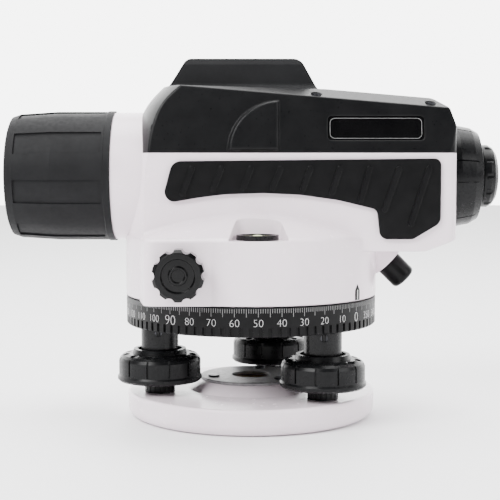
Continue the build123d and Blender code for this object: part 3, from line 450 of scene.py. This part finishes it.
def plate_border(name, side):
    """Thin light frame line on a name plate; side is -1 or +1 along Y."""
    length = plates_high[0] - plates_low[0]
    height = (plates_high[2] - plates_low[2]) / math.cos(COVER_LEAN)
    inner_inset = BORDER_INSET + BORDER_WIDTH
    outer = rounded_loop(length - 2 * BORDER_INSET, height - 2 * BORDER_INSET, BORDER_TURN)
    inner = rounded_loop(length - 2 * inner_inset, height - 2 * inner_inset, BORDER_TURN - BORDER_WIDTH)
    centre = Vector(((plates_low[0] + plates_high[0]) / 2, 0, (plates_low[2] + plates_high[2]) / 2))
    # The plate's outer face passes through its farthest lower edge
    depth = plates_high[1] - (height / 2) * math.sin(COVER_LEAN)
    up = Vector((0, -side * math.sin(COVER_LEAN), math.cos(COVER_LEAN)))
    out = Vector((0, side * math.cos(COVER_LEAN), math.sin(COVER_LEAN)))
    origin = Vector((centre.x, side * depth, centre.z))
    bm = bmesh.new()
    rows = [[bm.verts.new(origin + Vector((p.x, 0, 0)) + up * p.y + out * lift) for p in loop]
            for loop, lift in ((outer, -BORDER_RISE), (outer, BORDER_RISE),
                               (inner, BORDER_RISE), (inner, -BORDER_RISE))]
    bridge(bm, zip(rows, rows[1:] + rows[:1]))
    piece(name, mesh_from(name, bm), MARK_GREY, "telescope")


def vial_details():
    """The bubble under the glass and the black circle that it is centred in."""
    low, high = 0.02 * MM, 0.06 * MM
    inner, outer = VIAL_CIRCLE_R, VIAL_CIRCLE_R + VIAL_CIRCLE_WIDTH
    ring = [(low, inner), (high, inner), (high, outer), (low, outer)]
    piece("vial_circle", turned_mesh("vial_circle", ring, VIAL, (0, 0, 1)),
          MATERIALS["gloss_black"], "telescope")
    bubble = [(-0.02 * MM - BUBBLE_DEPTH * math.sin(a), BUBBLE_R * math.cos(a) + 0.001 * MM)
              for a in [math.pi * (i / 12 - 0.5) for i in range(13)]]
    place = VIAL - Vector((0, 0, 0.05 * MM))
    mat = new_material("bubble_air", (0.60, 0.68, 0.35), 0.08, Specular_IOR_Level=0.8)
    mottle(mat, (0.56, 0.64, 0.32), (0.66, 0.74, 0.42), 1.5 * MM)
    piece("vial_bubble", turned_mesh("vial_bubble", bubble, place, (0, 0, 1), 48, closed=False), mat,
          "telescope", smooth=True)


# ================================================================ hood and tripod thread
def hood_baffles():
    """Fine ridges inside the lens hood that stop stray light."""
    sunk, crest = HOOD_BORE_R + 0.3 * MM, HOOD_BORE_R - 0.5 * MM
    bm = bmesh.new()
    for i in range(RIDGE_COUNT):
        x = hood_low[0] + 2.0 * MM + RIDGE_PITCH * i
        ridge = [(x, sunk), (x + 0.9 * MM, crest), (x + 1.2 * MM, sunk)]
        mesh = turned_mesh("ridge", ridge, SIGHT_LINE, (1, 0, 0), 72)
        bm.from_mesh(mesh)
        bpy.data.meshes.remove(mesh)
    piece("hood_baffles", mesh_from("hood_baffles", bm), MATERIALS["circle_paint"], "telescope")


def tripod_thread():
    """The brass insert with its 5/8 inch by 11 thread cut."""
    segments, rows = 96, 110
    major = THREAD_MINOR_R + THREAD_DEPTH
    bm = bmesh.new()

    def ring(z, radius_at):
        return [bm.verts.new((radius_at(i) * math.cos(2 * math.pi * i / segments),
                              radius_at(i) * math.sin(2 * math.pi * i / segments), z))
                for i in range(segments)]

    def thread_radius(z):
        def at(i):
            phase = (z / THREAD_PITCH - i / segments) % 1.0
            groove = max(0.0, 1.0 - abs(phase - 0.5) / 0.42)
            fade = min(1.0, z / THREAD_FADE, (INSERT_HEIGHT - z) / THREAD_FADE)
            return THREAD_MINOR_R + THREAD_DEPTH * groove * max(0.0, fade)
        return at

    rings = [ring(0.0, lambda i: INSERT_R), ring(0.0, lambda i: major)]
    for k in range(rows):
        z = INSERT_HEIGHT * (k + 0.5) / rows
        rings.append(ring(z, thread_radius(z)))
    rings += [ring(INSERT_HEIGHT, lambda i: major), ring(INSERT_HEIGHT, lambda i: INSERT_R)]
    bridge(bm, zip(rings, rings[1:] + rings[:1]))
    made = piece("tripod_thread", mesh_from("tripod_thread", bm), MATERIALS["brass"], "base")
    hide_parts("thread_insert")


# ================================================================ stage
def floor():
    hole = 0.1 * MM
    profile = [(-FLOOR_THICKNESS, FLOOR_R), (0.0, FLOOR_R), (0.0, hole), (-FLOOR_THICKNESS, hole)]
    mesh = turned_mesh("floor", profile, (0, 0, 0), (0, 0, 1), 64)
    made = bpy.data.objects.new("floor", mesh)
    bpy.context.scene.collection.objects.link(made)
    mat = new_material("floor_white", (0.86, 0.86, 0.865), 0.6)
    mesh.materials.append(mat)


def area_light(name, place, size, power):
    data = bpy.data.lights.new(name, "AREA")
    data.shape = "RECTANGLE"
    data.size, data.size_y = size
    data.energy = power
    made = bpy.data.objects.new(name, data)
    made.location = place
    made.rotation_mode = "QUATERNION"
    made.rotation_quaternion = (Vector(LIGHT_AIM) - Vector(place)).to_track_quat("-Z", "Y")
    bpy.context.scene.collection.objects.link(made)


def studio():
    world = bpy.data.worlds.new("studio")
    world.use_nodes = True
    tree = world.node_tree
    place = tree.nodes.new("ShaderNodeTexCoord")
    split = tree.nodes.new("ShaderNodeSeparateXYZ")
    shade = tree.nodes.new("ShaderNodeMapRange")
    # Bright towards +Y, behind the object, and dim towards -Y
    for key, value in (("From Min", -0.1), ("From Max", 0.8),
                       ("To Min", WORLD_DIM), ("To Max", WORLD_BRIGHT)):
        shade.inputs[key].default_value = value
    tree.links.new(place.outputs["Generated"], split.inputs["Vector"])
    tree.links.new(split.outputs["Y"], shade.inputs["Value"])
    tree.links.new(shade.outputs["Result"], tree.nodes["Background"].inputs["Strength"])
    tree.nodes["Background"].inputs["Color"].default_value = (1.0, 1.0, 1.0, 1.0)
    bpy.context.scene.world = world
    for light in LIGHTS:
        area_light(*light)


def camera():
    data = bpy.data.cameras.new("camera")
    data.sensor_width = 36.0
    data.lens = CAMERA_LENS
    made = bpy.data.objects.new("camera", data)
    made.location = CAMERA_PLACE
    made.rotation_euler = (math.radians(90 - CAMERA_DIP), 0, 0)
    bpy.context.scene.collection.objects.link(made)
    bpy.context.scene.camera = made


def main():
    finish_cad_nodes()
    circle_ticks()
    circle_numbers()
    index_line()
    plate_border("plate_border_left", -1)
    plate_border("plate_border_right", 1)
    vial_details()
    hood_baffles()
    tripod_thread()
    floor()
    studio()
    camera()


main()
